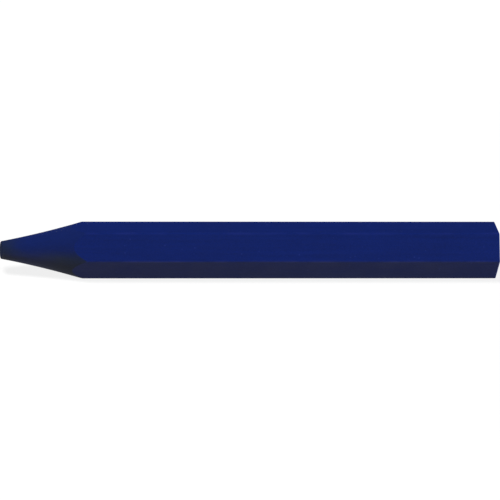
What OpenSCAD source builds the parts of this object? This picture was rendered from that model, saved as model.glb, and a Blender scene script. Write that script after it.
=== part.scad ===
// Hexagonal stick of wax-bound marking chalk with a blunt, hollow-tapered point.
//
// The stick lies on one of its six flats, with its length along X. The point is towards -X and
// the butt towards +X. The origin is on the underside, halfway along the stick. Sizes are in
// millimetres.

/* [Stick] */
// Overall length, from the butt to the tip
stick_length = 120; // [90:1:150]
// Distance across two opposite flats
across_flats = 11.9; // [9:0.1:16]
// Radius of the six long edges
edge_round = 0.4; // [0.2:0.1:1]
// Radius of the rim round the butt
butt_round = 0.3; // [0.2:0.1:1]

/* [Point] */
// Length of the taper, from the tip to the corners of the bare hexagon
taper_length = 19.9; // [14:0.1:30]
// Diameter of the flat tip, measured where the taper's side would meet it
tip_diameter = 4.2; // [2:0.1:6]
// How far the taper's side dips below a straight cone
taper_hollow = 0.25; // [0.05:0.05:0.5]
// Radius of the rim round the tip
tip_round = 0.3; // [0.1:0.1:0.6]

/* [Look] */
// Colour of the wax
wax_colour = "#162463"; // [#162463:Blue, #b3261e:Red, #1f6b3a:Green, #e3b505:Yellow, #1d1d1f:Black]

/* [Hidden] */

// Number of flats, and the angle from one to the next
flat_count = 6;
flat_step = 360 / flat_count;

// Middle of the stick to a flat, and to a corner of the bare hexagon
flat_reach = across_flats / 2;
corner_reach = flat_reach / cos(flat_step / 2);

// The point is turned from a profile, in which x is the distance from the stick's axis and y
// the distance from the butt. A straight line from the corner to the tip would give a plain
// cone. The taper's side is an arc between the same two ends that dips inside that line.
tip_end = [tip_diameter / 2, stick_length];
corner_end = [corner_reach, stick_length - taper_length];
taper_run = tip_end - corner_end;
taper_chord = norm(taper_run);
taper_angle = atan2(-taper_run[0], taper_run[1]);
outward = [cos(taper_angle), sin(taper_angle)];
hollow_radius = (pow(taper_chord / 2, 2) + pow(taper_hollow, 2)) / (2 * taper_hollow);
hollow_centre = (tip_end + corner_end) / 2 + (hollow_radius - taper_hollow) * outward;

// The rim arc at the tip touches the tip's flat and that straight line, so it crosses the
// side's arc just inside the line
rim_inset = tip_round * (1 / cos(taper_angle) - tan(taper_angle));
rim_centre = tip_end - [rim_inset, tip_round];
rim_touch = rim_centre + tip_round * outward;

// Steps in a full turn, for small rounds, for the turned point and for its long side arc
round_steps = 48;
turn_steps = 144;
side_steps = 1440;

// The section across the stick: a hexagon with a true arc at each corner. Its first flat
// faces along x, which becomes the underside.
module hexagon_section() {
    arc_reach = (flat_reach - edge_round) / cos(flat_step / 2);
    function heading(a) = [cos(a), sin(a)];

    // The flats, each as long as its two corner arcs leave it
    polygon([
        for (i = [0:flat_count - 1], side = [-1, 1])
            arc_reach * heading(flat_step * (i + 0.5))
                + edge_round * heading(flat_step * (i + 0.5 + side / 2))
    ]);
    for (i = [0:flat_count - 1])
        translate(arc_reach * heading(flat_step * (i + 0.5)))
            circle(r = edge_round, $fn = round_steps);
}

// Two opposite flats seen along them, with the rim of the butt rounded
module flat_pair_side() {
    translate([-flat_reach, butt_round])
        square([across_flats, stick_length - butt_round]);
    translate([butt_round - flat_reach, 0])
        square([across_flats - 2 * butt_round, stick_length]);
    for (side = [-1, 1])
        translate([side * (flat_reach - butt_round), butt_round])
            circle(r = butt_round, $fn = round_steps);
}

// The bar as it leaves the mould, standing on its butt: its section drawn out to length, with
// the ends of the three pairs of flats cut to the rounded rim
module moulded_bar() {
    intersection() {
        linear_extrude(stick_length)
            hexagon_section();
        intersection_for (i = [0:flat_count / 2 - 1])
            rotate([90, 0, flat_step * i])
                linear_extrude(2 * across_flats, center = true)
                    flat_pair_side();
    }
}

// Half the turned shape of the stick: a plain blank with the flat tip and its rim arc, less the
// hollow of the taper
module point_profile() {
    difference() {
        union() {
            square([corner_reach, rim_touch[1]]);
            square([rim_centre[0], stick_length]);
            translate(rim_centre)
                circle(r = tip_round, $fn = round_steps);
        }
        translate(hollow_centre)
            circle(r = hollow_radius, $fn = side_steps);
    }
}

// The whole stick. The taper is round and the bar has six sides, so the taper runs out in a
// scallop on each flat and reaches furthest back along the edges.
module chalk_stick() {
    color(wax_colour)
        translate([stick_length / 2, 0, flat_reach])
            rotate([0, -90, 0])
                intersection() {
                    moulded_bar();
                    rotate_extrude($fn = turn_steps)
                        point_profile();
                }
}

chalk_stick();
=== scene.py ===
# A hexagonal stick of wax-bound marking chalk, dark blue, lying on one of its flats with its
# blunt point towards -X. Lengths are in metres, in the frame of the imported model.
import math

import bmesh
import bpy
from mathutils import Matrix, Vector


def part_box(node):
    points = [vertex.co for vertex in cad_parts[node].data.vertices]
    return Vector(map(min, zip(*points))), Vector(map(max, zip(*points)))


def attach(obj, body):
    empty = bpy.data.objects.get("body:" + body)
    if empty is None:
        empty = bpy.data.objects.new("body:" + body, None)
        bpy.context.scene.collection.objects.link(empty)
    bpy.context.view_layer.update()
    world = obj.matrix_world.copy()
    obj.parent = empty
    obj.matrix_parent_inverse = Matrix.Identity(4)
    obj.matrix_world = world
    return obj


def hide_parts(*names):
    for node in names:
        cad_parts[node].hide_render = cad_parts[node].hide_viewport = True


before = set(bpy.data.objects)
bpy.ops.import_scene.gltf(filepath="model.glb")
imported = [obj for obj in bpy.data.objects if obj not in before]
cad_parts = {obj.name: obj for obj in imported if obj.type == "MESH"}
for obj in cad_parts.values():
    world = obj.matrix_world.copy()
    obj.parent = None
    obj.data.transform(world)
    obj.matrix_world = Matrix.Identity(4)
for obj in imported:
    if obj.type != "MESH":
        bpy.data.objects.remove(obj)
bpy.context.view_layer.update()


# ---------------------------------------------------------------------------------------------
# The stick: one solid moulding of hard wax filled with chalk and blue pigment. It is poured as
# a hexagonal bar with slightly rounded edges, and its point is turned down to a small flat tip.
# Nothing is fitted to it.
# ---------------------------------------------------------------------------------------------
MM = 0.001

low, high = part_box("chalk_stick")
length = high.x - low.x
middle_x = (low.x + high.x) / 2
flat_reach = (high.z - low.z) / 2
# The angle round the centreline from the middle of a flat to its corner
half_flat = math.radians(30)
corner_reach = flat_reach / math.cos(half_flat)
centre_z = low.z + flat_reach
edge_round = 0.4 * MM
edge_steps = 8
butt_round = 0.3 * MM
butt_steps = 10


def select_edges(obj, wanted):
    """In edit mode, selects just the edges whose two ends pass the test."""
    mesh = bmesh.from_edit_mesh(obj.data)
    bpy.ops.mesh.select_all(action="DESELECT")
    for edge in mesh.edges:
        edge.select = wanted(edge.verts[0].co, edge.verts[1].co)
    bmesh.update_edit_mesh(obj.data)


def merge_doubles():
    """In edit mode, closes the mesh where two of its points meet."""
    bpy.ops.mesh.select_all(action="SELECT")
    bpy.ops.mesh.remove_doubles(threshold=0.001 * MM)


# The bar lies along X with a flat underneath. Its six long edges are rounded first, and then
# the rim of the butt.
bpy.ops.object.select_all(action="DESELECT")
bpy.ops.mesh.primitive_cylinder_add(
    vertices=6,
    radius=corner_reach,
    depth=length,
    location=(middle_x, 0, centre_z),
    rotation=(math.radians(90), half_flat, math.radians(90)),
)
stick = bpy.context.object
stick.name = "moulded_chalk"
bpy.ops.object.transform_apply(location=True, rotation=True, scale=True)
bpy.ops.object.mode_set(mode="EDIT")
bpy.ops.mesh.select_mode(type="EDGE")
select_edges(stick, lambda a, b: abs(a.x - b.x) > length / 2)
bpy.ops.mesh.bevel(offset=edge_round * math.tan(half_flat), segments=edge_steps, profile=0.5)
select_edges(stick, lambda a, b: min(a.x, b.x) > middle_x)
bpy.ops.mesh.bevel(offset=butt_round, segments=butt_steps, profile=0.5)
bpy.ops.object.mode_set(mode="OBJECT")

# The point is round and the bar has six sides, so the taper runs out in a scallop on each flat
# and reaches furthest back along the edges. Its side is an arc that dips inside a straight cone.
taper_length = 19.9 * MM
taper_hollow = 0.25 * MM
tip_diameter = 4.2 * MM
tip_round = 0.3 * MM
turn_steps = 192
side_rows = 24
rim_rows = 8
# How far the side runs on past the bar's corners, and the blank past the butt
side_over = 1.5 * MM
butt_over = 1 * MM

tip_end = Vector((low.x, tip_diameter / 2))
corner_end = Vector((low.x + taper_length, corner_reach))
chord = corner_end - tip_end
taper_angle = math.atan2(chord.y, chord.x)
hollow_radius = ((chord.length / 2) ** 2 + taper_hollow ** 2) / (2 * taper_hollow)
outward = Vector((-math.sin(taper_angle), math.cos(taper_angle)))
hollow_centre = (tip_end + corner_end) / 2 + (hollow_radius - taper_hollow) * outward
rim_inset = tip_round * (1 / math.cos(taper_angle) - math.tan(taper_angle))
rim_centre = tip_end + Vector((tip_round, -rim_inset))


def side_reach(x):
    """How far the taper's side is from the centreline, at a place along the stick."""
    return hollow_centre.y - math.sqrt(hollow_radius ** 2 - (x - hollow_centre.x) ** 2)


# The turning outline, as place along the stick and distance from the centreline: the middle of
# the tip, its rim, the side to just past the bar's corners, then outside the bar and past the butt.
outline = [(low.x, 0.0)]
for row in range(rim_rows + 1):
    turn = (math.pi / 2 - taper_angle) * row / rim_rows
    outline.append(tuple(rim_centre + tip_round * Vector((-math.cos(turn), math.sin(turn)))))
side_start = outline[-1][0]
side_end = corner_end.x + side_over
blank_end = high.x + butt_over
for row in range(1, side_rows + 1):
    x = side_start + (side_end - side_start) * row / side_rows
    outline.append((x, side_reach(x)))
outline.append((blank_end, side_reach(side_end)))
outline.append((blank_end, 0.0))

# The outline is drawn by extruding a single point, and spun to a blank that cuts the bar
bpy.ops.object.select_all(action="DESELECT")
bpy.ops.mesh.primitive_plane_add(size=MM, location=(low.x, 0, centre_z))
blank = bpy.context.object
bpy.ops.object.transform_apply(location=True, rotation=True, scale=True)
bpy.ops.object.mode_set(mode="EDIT")
bpy.ops.mesh.select_mode(type="VERT")
bpy.ops.mesh.select_all(action="SELECT")
bpy.ops.mesh.merge(type="CENTER")
for here, there in zip(outline, outline[1:]):
    step = (there[0] - here[0], 0, there[1] - here[1])
    bpy.ops.mesh.extrude_region_move(TRANSFORM_OT_translate={"value": step})
bpy.ops.mesh.select_all(action="SELECT")
bpy.ops.mesh.spin(steps=turn_steps, angle=math.tau, center=(0, 0, centre_z), axis=(1, 0, 0))
merge_doubles()
bpy.ops.mesh.normals_make_consistent(inside=False)
bpy.ops.object.mode_set(mode="OBJECT")

bpy.ops.object.select_all(action="DESELECT")
stick.select_set(True)
bpy.context.view_layer.objects.active = stick
turned = stick.modifiers.new("turned_point", "BOOLEAN")
turned.operation = "INTERSECT"
turned.solver = "EXACT"
turned.object = blank
bpy.ops.object.modifier_apply(modifier=turned.name)
bpy.data.objects.remove(blank)
bpy.ops.object.mode_set(mode="EDIT")
merge_doubles()
bpy.ops.object.mode_set(mode="OBJECT")

# Only the arcs of the edges and rims and the round of the taper are shaded smooth. The scallops,
# where the taper meets the flats, stay crisp.
crisp_angle = math.radians(12)
bpy.ops.object.shade_smooth_by_angle(angle=crisp_angle)
level = stick.modifiers.new("level_flats", "WEIGHTED_NORMAL")
level.keep_sharp = True
bpy.ops.object.modifier_apply(modifier=level.name)

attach(stick, "root")
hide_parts("chalk_stick")


def colour(hex_value):
    """An sRGB hex colour as linear red, green, blue and alpha."""
    parts = [int(hex_value[i:i + 2], 16) / 255 for i in (1, 3, 5)]
    return [p / 12.92 if p <= 0.04045 else ((p + 0.055) / 1.055) ** 2.4 for p in parts] + [1]


def add_node(tree, kind, inputs=None, **settings):
    """Adds a node with its settings, and sets or links its inputs by their name or number."""
    node = tree.nodes.new(kind)
    for name, value in settings.items():
        setattr(node, name, value)
    for name, value in (inputs or {}).items():
        if isinstance(value, bpy.types.NodeSocket):
            tree.links.new(value, node.inputs[name])
        else:
            node.inputs[name].default_value = value
    return node


# Moulded wax chalk: hard wax filled with chalk and blue pigment, poured in a smooth mould. The eye
# sees one deep blue, matt to satin, with faint clouds and drag streaks from the pour, a few pale
# grains, edges that handling has rubbed, and a turned point that greys towards its tip, partly with
# dust and partly with painted shade. Its lower sides carry painted grey shade.
chalk = bpy.data.materials.new("moulded_wax_chalk")
chalk.use_nodes = True
tree = chalk.node_tree
wax = tree.nodes["Principled BSDF"]
# Wax is near 1.45 and chalk near 1.6. This is set above both, to match the grey sheen that the
# stick's faces have at a slant.
wax.inputs["IOR"].default_value = 1.75

# The patterns are laid out in millimetres, measured from the middle of the stick
tip_x = low.x / MM
corner_at = corner_reach / MM
place = add_node(tree, "ShaderNodeTexCoord")
spot = add_node(
    tree,
    "ShaderNodeMapping",
    {"Vector": place.outputs["Object"], "Location": (0, 0, -centre_z / MM), "Scale": [1 / MM] * 3},
)
along = add_node(tree, "ShaderNodeSeparateXYZ", {0: spot.outputs[0]})
across = add_node(
    tree, "ShaderNodeVectorMath", {0: spot.outputs[0], 1: (0, 1, 1)}, operation="MULTIPLY"
)
off_axis = add_node(tree, "ShaderNodeVectorMath", {0: across.outputs[0]}, operation="LENGTH")
end_gap = add_node(tree, "ShaderNodeMath", {0: along.outputs["X"]}, operation="ABSOLUTE")
end_gap = add_node(
    tree, "ShaderNodeMath", {0: -tip_x, 1: end_gap.outputs[0]}, operation="SUBTRACT"
)

# Clouds where the pour cooled, and streaks drawn out along the mould
cloud_width = 9
streak_length = 25
streak_width = 0.6
clouds = add_node(
    tree, "ShaderNodeTexNoise", {"Vector": spot.outputs[0], "Scale": 1 / cloud_width, "Detail": 2}
)
drawn_out = add_node(
    tree,
    "ShaderNodeMapping",
    {
        "Vector": spot.outputs[0],
        "Scale": (1 / streak_length, 1 / streak_width, 1 / streak_width),
    },
)
streaks = add_node(
    tree, "ShaderNodeTexNoise", {"Vector": drawn_out.outputs[0], "Scale": 1, "Detail": 2}
)
# Chalk grains are a few hundredths of a millimetre, and are drawn at 0.25 mm so that they show
grain_width = 0.25
grain = add_node(
    tree, "ShaderNodeTexNoise", {"Vector": spot.outputs[0], "Scale": 1 / grain_width, "Detail": 1}
)
# Together they shade the blue a little: clouds least, because they are the widest, and grain most
pour = add_node(
    tree, "ShaderNodeMath", {0: clouds.outputs[0], 1: 0.15}, operation="MULTIPLY"
)
pour = add_node(
    tree,
    "ShaderNodeMath",
    {0: streaks.outputs[0], 1: 0.3, 2: pour.outputs[0]},
    operation="MULTIPLY_ADD",
)
pour = add_node(
    tree,
    "ShaderNodeMath",
    {0: grain.outputs[0], 1: 0.55, 2: pour.outputs[0]},
    operation="MULTIPLY_ADD",
)
pour = add_node(
    tree, "ShaderNodeMapRange", {"Value": pour.outputs[0], "From Min": 0.35, "From Max": 0.65}
)

# A larger grain lies at the surface every few millimetres, as two cells in five hold one. It is
# whole to 0.2 mm across and fades out at 0.36 mm.
cell_width = 1.4
cells = add_node(
    tree, "ShaderNodeTexVoronoi", {"Vector": spot.outputs[0], "Scale": 1 / cell_width}
)
cell_draw = add_node(tree, "ShaderNodeSeparateColor", {0: cells.outputs["Color"]})
drawn = add_node(
    tree, "ShaderNodeMath", {0: cell_draw.outputs[0], 1: 0.6}, operation="GREATER_THAN"
)
fleck = add_node(
    tree,
    "ShaderNodeMapRange",
    {
        "Value": cells.outputs["Distance"],
        "From Min": 0.07,
        "From Max": 0.13,
        "To Min": 1,
        "To Max": 0,
    },
)
fleck = add_node(
    tree, "ShaderNodeMath", {0: fleck.outputs[0], 1: drawn.outputs[0]}, operation="MULTIPLY"
)

# Rubbed edges: the outer 0.2 mm of the six long edges and the rims of the two ends, in patches
patch_length = 7
patch_width = 3
patches = add_node(
    tree,
    "ShaderNodeMapping",
    {"Vector": spot.outputs[0], "Scale": (1 / patch_length, 1 / patch_width, 1 / patch_width)},
)
patches = add_node(
    tree, "ShaderNodeTexNoise", {"Vector": patches.outputs[0], "Scale": 1, "Detail": 3}
)
patches = add_node(
    tree,
    "ShaderNodeMapRange",
    {"Value": patches.outputs[0], "From Min": 0.42, "From Max": 0.62},
)
edges = add_node(
    tree,
    "ShaderNodeMapRange",
    {
        "Value": off_axis.outputs["Value"],
        "From Min": corner_at - 0.25,
        "From Max": corner_at - 0.07,
    },
)
rims = add_node(
    tree,
    "ShaderNodeMapRange",
    {"Value": end_gap.outputs[0], "From Min": 0.45, "From Max": 0.2},
)
inside_rim = add_node(
    tree,
    "ShaderNodeMapRange",
    {"Value": end_gap.outputs[0], "From Min": 0.01, "From Max": 0.08},
)
rims = add_node(
    tree, "ShaderNodeMath", {0: rims.outputs[0], 1: inside_rim.outputs[0]}, operation="MULTIPLY"
)
rub = add_node(
    tree, "ShaderNodeMath", {0: edges.outputs[0], 1: rims.outputs[0]}, operation="MAXIMUM"
)
rub = add_node(
    tree, "ShaderNodeMath", {0: rub.outputs[0], 1: patches.outputs[0]}, operation="MULTIPLY"
)

# The turned point is where the surface faces the tip a little. Its tool marks are rings 0.012 mm
# deep and about 0.3 mm apart, and they run on over the flat tip as circles 0.4 mm apart.
ring_gap = 0.4
facing = add_node(tree, "ShaderNodeSeparateXYZ", {0: place.outputs["Normal"]})
turned_part = add_node(
    tree,
    "ShaderNodeMapRange",
    {"Value": facing.outputs["X"], "From Min": -0.04, "From Max": -0.12},
)
ring_place = add_node(
    tree, "ShaderNodeMath", {0: along.outputs["X"], 1: off_axis.outputs["Value"]}, operation="ADD"
)
rings = add_node(
    tree, "ShaderNodeMath", {0: ring_place.outputs[0], 1: math.tau / ring_gap}, operation="MULTIPLY"
)
rings = add_node(tree, "ShaderNodeMath", {0: rings.outputs[0]}, operation="SINE")
rings = add_node(
    tree, "ShaderNodeMath", {0: rings.outputs[0], 1: turned_part.outputs[0]}, operation="MULTIPLY"
)

# The butt was trimmed by a wire, which left faint wavy lines slanting across it, about 0.7 mm apart
trim_gap = 0.7
trim_slant = math.radians(35)
trimmed_part = add_node(
    tree,
    "ShaderNodeMapRange",
    {"Value": facing.outputs["X"], "From Min": 0.8, "From Max": 0.98},
)
trim_way = add_node(
    tree,
    "ShaderNodeVectorMath",
    {0: spot.outputs[0], 1: (0, math.cos(trim_slant), math.sin(trim_slant))},
    operation="DOT_PRODUCT",
)
trim_lines = add_node(
    tree,
    "ShaderNodeMath",
    {0: clouds.outputs[0], 1: 4, 2: trim_way.outputs["Value"]},
    operation="MULTIPLY_ADD",
)
trim_lines = add_node(
    tree, "ShaderNodeMath", {0: trim_lines.outputs[0], 1: math.tau / trim_gap}, operation="MULTIPLY"
)
trim_lines = add_node(tree, "ShaderNodeMath", {0: trim_lines.outputs[0]}, operation="SINE")
trim_lines = add_node(
    tree,
    "ShaderNodeMath",
    {0: trim_lines.outputs[0], 1: trimmed_part.outputs[0]},
    operation="MULTIPLY",
)

# Grey towards the tip: partly dust from use and from the bench, partly painted shade that darkens
# the point's end. It is nearly whole on the tip, and fades out 5 to 6.6 mm behind it.
tip_gap = add_node(
    tree,
    "ShaderNodeMath",
    {0: patches.outputs[0], 1: 1.6, 2: along.outputs["X"]},
    operation="MULTIPLY_ADD",
)
tip_dust_and_shade = add_node(
    tree,
    "ShaderNodeMapRange",
    {"Value": tip_gap.outputs[0], "From Min": tip_x + 6.6, "From Max": tip_x + 0.2},
    interpolation_type="SMOOTHSTEP",
)

# Painted shade: the lower sides and the underside of the taper are painted greyer, fully where they
# face sideways or down. The grey begins 8 mm behind the tip and reaches its full share at 14 mm.
painted_underside_shade = add_node(
    tree,
    "ShaderNodeMapRange",
    {"Value": facing.outputs["Z"], "From Min": 0.38, "From Max": 0.0, "To Max": 0.55},
)
taper_root = add_node(
    tree,
    "ShaderNodeMapRange",
    {"Value": along.outputs["X"], "From Min": tip_x + 8, "From Max": tip_x + 14},
)
painted_underside_shade = add_node(
    tree, "ShaderNodeMath", {0: painted_underside_shade.outputs[0], 1: taper_root.outputs[0]}, operation="MULTIPLY"
)
painted_underside_shade = add_node(
    tree, "ShaderNodeMath", {0: painted_underside_shade.outputs[0], 1: turned_part.outputs[0]}, operation="MULTIPLY"
)

# The flat tip itself is worn dull where it has met the work
worn_face = add_node(
    tree,
    "ShaderNodeMapRange",
    {"Value": facing.outputs["X"], "From Min": -0.5, "From Max": -0.9},
)

# Colours: a mix has its factor at input 0, its two colours at 6 and 7 and its result at 2
blue = add_node(
    tree,
    "ShaderNodeMix",
    {0: pour.outputs[0], 6: colour("#0b1d5b"), 7: colour("#0f236b")},
    data_type="RGBA",
)
blue = add_node(
    tree,
    "ShaderNodeMix",
    {0: fleck.outputs[0], 6: blue.outputs[2], 7: colour("#25357e")},
    data_type="RGBA",
)
# Turning opens the wax and shows more of its chalk, so the point is a little greyer than the flats
chalky = add_node(
    tree, "ShaderNodeMath", {0: turned_part.outputs[0], 1: 0.4}, operation="MULTIPLY"
)
blue = add_node(
    tree,
    "ShaderNodeMix",
    {0: chalky.outputs[0], 6: blue.outputs[2], 7: colour("#1a2a63")},
    data_type="RGBA",
)
# Painted shade: slate grey on the lower sides and underside of the taper
blue = add_node(
    tree,
    "ShaderNodeMix",
    {0: painted_underside_shade.outputs[0], 6: blue.outputs[2], 7: colour("#1a2a2e")},
    data_type="RGBA",
)
blue = add_node(
    tree,
    "ShaderNodeMix",
    {0: rub.outputs[0], 6: blue.outputs[2], 7: colour("#15256c")},
    data_type="RGBA",
)
# Grey at the tip: dust, together with painted shade on the point's end
blue = add_node(
    tree,
    "ShaderNodeMix",
    {0: tip_dust_and_shade.outputs[0], 6: blue.outputs[2], 7: colour("#1f2a48")},
    data_type="RGBA",
)
blue = add_node(
    tree,
    "ShaderNodeMix",
    {0: worn_face.outputs[0], 6: blue.outputs[2], 7: colour("#0f2149")},
    data_type="RGBA",
)
tree.links.new(blue.outputs[2], wax.inputs["Base Color"])

# Satin where the mould was smooth, glossier where rubbed, duller where dusty and on the worn tip
dull = add_node(
    tree,
    "ShaderNodeMapRange",
    {"Value": clouds.outputs[0], "From Min": 0.3, "From Max": 0.7, "To Min": 0.62, "To Max": 0.7},
)
dull = add_node(
    tree,
    "ShaderNodeMath",
    {0: rub.outputs[0], 1: -0.12, 2: dull.outputs[0]},
    operation="MULTIPLY_ADD",
)
dull = add_node(
    tree,
    "ShaderNodeMath",
    {0: tip_dust_and_shade.outputs[0], 1: 0.06, 2: dull.outputs[0]},
    operation="MULTIPLY_ADD",
)
dull = add_node(
    tree,
    "ShaderNodeMath",
    {0: worn_face.outputs[0], 1: 0.3, 2: dull.outputs[0]},
    operation="MULTIPLY_ADD",
)
tree.links.new(dull.outputs[0], wax.inputs["Roughness"])

# Relief: the streaks, the grain, the rings, the trim lines, and each larger grain a little proud.
# The rings and trim lines rise and fall by their height, so they are twice as deep.
streak_height = 0.04
grain_height = 0.035
ring_height = 0.006
trim_height = 0.008
fleck_height = 0.02
relief = add_node(
    tree, "ShaderNodeMath", {0: streaks.outputs[0], 1: streak_height}, operation="MULTIPLY"
)
relief = add_node(
    tree,
    "ShaderNodeMath",
    {0: grain.outputs[0], 1: grain_height, 2: relief.outputs[0]},
    operation="MULTIPLY_ADD",
)
relief = add_node(
    tree,
    "ShaderNodeMath",
    {0: rings.outputs[0], 1: ring_height, 2: relief.outputs[0]},
    operation="MULTIPLY_ADD",
)
relief = add_node(
    tree,
    "ShaderNodeMath",
    {0: trim_lines.outputs[0], 1: trim_height, 2: relief.outputs[0]},
    operation="MULTIPLY_ADD",
)
relief = add_node(
    tree,
    "ShaderNodeMath",
    {0: fleck.outputs[0], 1: fleck_height, 2: relief.outputs[0]},
    operation="MULTIPLY_ADD",
)
bump = add_node(tree, "ShaderNodeBump", {"Height": relief.outputs[0], "Distance": MM})
tree.links.new(bump.outputs[0], wax.inputs["Normal"])
stick.data.materials.clear()
stick.data.materials.append(chalk)


# ---------------------------------------------------------------------------------------------
# The floor: a sheet of matt white paper under the stick. To the camera it is white by its own
# glow, so that only the stick's own soft shadow stays on it.
# ---------------------------------------------------------------------------------------------
sheet_width = 8
bpy.ops.object.select_all(action="DESELECT")
bpy.ops.mesh.primitive_plane_add(size=sheet_width, location=(0, 0, low.z))
sheet = bpy.context.object
sheet.name = "white_sheet"
bpy.ops.object.transform_apply(location=True, rotation=True, scale=True)
paper = bpy.data.materials.new("matt_white_paper")
paper.use_nodes = True
tree = paper.node_tree
tree.nodes.clear()
ray = add_node(tree, "ShaderNodeLightPath")
place = add_node(tree, "ShaderNodeTexCoord")
away = add_node(tree, "ShaderNodeVectorMath", {0: place.outputs["Object"]}, operation="LENGTH")
# Near the stick the glow is lower, because the lamps light the paper most there
glow = add_node(
    tree,
    "ShaderNodeMapRange",
    {
        "Value": away.outputs["Value"],
        "From Min": 0.1,
        "From Max": 0.4,
        "To Min": 0.84,
        "To Max": 1.0,
    },
)
seen = add_node(
    tree,
    "ShaderNodeMath",
    {0: glow.outputs[0], 1: ray.outputs["Is Camera Ray"]},
    operation="MULTIPLY",
)
# In the stick's own gloss, the floor is dimmer close to the flat that the stick lies on: painted
# contact shade in the floor's glow
flat_middle = ((corner_end.x + high.x) / 2, 0, 0)
half_size = ((high.x - corner_end.x) / 2, flat_reach * math.tan(half_flat), 0)
aside = add_node(
    tree,
    "ShaderNodeVectorMath",
    {0: place.outputs["Object"], 1: flat_middle},
    operation="SUBTRACT",
)
aside = add_node(tree, "ShaderNodeVectorMath", {0: aside.outputs[0]}, operation="ABSOLUTE")
aside = add_node(
    tree, "ShaderNodeVectorMath", {0: aside.outputs[0], 1: half_size}, operation="SUBTRACT"
)
aside = add_node(
    tree, "ShaderNodeVectorMath", {0: aside.outputs[0], 1: (0, 0, 0)}, operation="MAXIMUM"
)
aside = add_node(tree, "ShaderNodeVectorMath", {0: aside.outputs[0]}, operation="LENGTH")
gloss_glow_with_painted_shade = add_node(
    tree,
    "ShaderNodeMapRange",
    {
        "Value": aside.outputs["Value"],
        "From Min": 4 * MM,
        "From Max": 20 * MM,
        "To Min": 0.3,
        "To Max": 0.47,
    },
)
mirrored = add_node(
    tree,
    "ShaderNodeMath",
    {0: ray.outputs["Is Glossy Ray"], 1: ray.outputs["Is Transmission Ray"]},
    operation="MAXIMUM",
)
shine = add_node(
    tree,
    "ShaderNodeMath",
    {0: mirrored.outputs[0], 1: gloss_glow_with_painted_shade.outputs[0], 2: seen.outputs[0]},
    operation="MULTIPLY_ADD",
)
# To the camera alone the paper also takes the lamps' light, so that the shadow shows on it. To the
# stick it is black, but for its glow in the gloss.
shade = add_node(
    tree,
    "ShaderNodeMapRange",
    {"Value": ray.outputs["Is Camera Ray"], "To Min": 0.0, "To Max": 0.18},
)
matt = add_node(tree, "ShaderNodeBsdfDiffuse", {"Color": shade.outputs[0]})
light = add_node(tree, "ShaderNodeEmission", {"Strength": shine.outputs[0]})
both = add_node(tree, "ShaderNodeAddShader", {0: matt.outputs[0], 1: light.outputs[0]})
add_node(tree, "ShaderNodeOutputMaterial", {"Surface": both.outputs[0]})
paper.cycles.emission_sampling = "NONE"
sheet.data.materials.append(paper)


# ---------------------------------------------------------------------------------------------
# The light: a soft box above the point, one low down on the butt's side, and a weaker one behind.
# None of them shows in a view or in the stick's gloss. The room beyond them is white to the camera
# and dim in the stick's gloss.
# ---------------------------------------------------------------------------------------------
room = bpy.data.worlds.new("white_room")
bpy.context.scene.world = room
room.use_nodes = True
tree = room.node_tree
tree.nodes.clear()
ray = add_node(tree, "ShaderNodeLightPath")
mirrored = add_node(
    tree, "ShaderNodeMath", {0: ray.outputs["Is Glossy Ray"], 1: 0.012}, operation="MULTIPLY"
)
seen = add_node(
    tree,
    "ShaderNodeMath",
    {0: ray.outputs["Is Camera Ray"], 1: ray.outputs["Is Transmission Ray"]},
    operation="MAXIMUM",
)
seen = add_node(
    tree, "ShaderNodeMath", {0: seen.outputs[0], 1: mirrored.outputs[0]}, operation="MAXIMUM"
)
strength = add_node(
    tree, "ShaderNodeMapRange", {"Value": seen.outputs[0], "To Min": 0.03, "To Max": 1.0}
)
white = add_node(
    tree, "ShaderNodeBackground", {"Color": (1, 1, 1, 1), "Strength": strength.outputs[0]}
)
add_node(tree, "ShaderNodeOutputWorld", {"Surface": white.outputs[0]})


def soft_box(name, azimuth, elevation, distance, share):
    """A square lamp aimed at the stick. Azimuth is 0 in front and 90 at the butt. Share is how
    much of its written brightness it gives to a surface that faces it."""
    turn, rise = math.radians(azimuth), math.radians(elevation)
    towards = Vector(
        (math.sin(turn) * math.cos(rise), -math.cos(turn) * math.cos(rise), math.sin(rise))
    )
    lamp = bpy.data.lights.new(name, "AREA")
    lamp.size = 0.4
    lamp.energy = share * (math.pi * distance) ** 2
    box = bpy.data.objects.new(name, lamp)
    bpy.context.collection.objects.link(box)
    box.location = Vector((0, 0, centre_z)) + towards * distance
    box.rotation_euler = towards.to_track_quat("Z", "Y").to_euler()
    box.visible_camera = False
    box.visible_glossy = False


soft_box("soft_box_above", 297, 67, 1.2, 0.94)
soft_box("soft_box_butt_side", 75, 7, 1.6, 1.3)
soft_box("soft_box_behind", 190, 6, 1.6, 0.5)


# ---------------------------------------------------------------------------------------------
# The camera: far off with a long lens, so the stick's edges stay parallel. It looks a little down
# on the stick, is turned slightly towards its tip, and is filled by its length.
# ---------------------------------------------------------------------------------------------
turned_by = math.radians(10.5)
raised_by = math.radians(24.5)
back = Vector(
    (
        -math.sin(turned_by),
        -math.cos(turned_by) * math.cos(raised_by),
        math.cos(turned_by) * math.sin(raised_by),
    )
)
right = (Vector((1, 0, 0)) - back.x * back).normalized()
up = back.cross(right)
rightward = [v.co.dot(right) for v in stick.data.vertices]
upward = [v.co.dot(up) for v in stick.data.vertices]
view_width = max(rightward) - min(rightward)
middle = right * (max(rightward) + min(rightward)) / 2 + up * (max(upward) + min(upward)) / 2
# The near tip looks a little larger than the butt, so the aim is moved towards it
aim_shift = 0.08 * MM
middle -= right * aim_shift

lens = bpy.data.cameras.new("camera")
lens.lens = 1000
lens.sensor_width = 36
lens.clip_end = 10
camera = bpy.data.objects.new("camera", lens)
bpy.context.collection.objects.link(camera)
distance = view_width * lens.lens / lens.sensor_width
turned_square = Matrix((right, up, back)).transposed().to_4x4()
camera.matrix_world = Matrix.Translation(middle + back * distance) @ turned_square
bpy.context.scene.camera = camera
bpy.context.scene.view_settings.view_transform = "Standard"
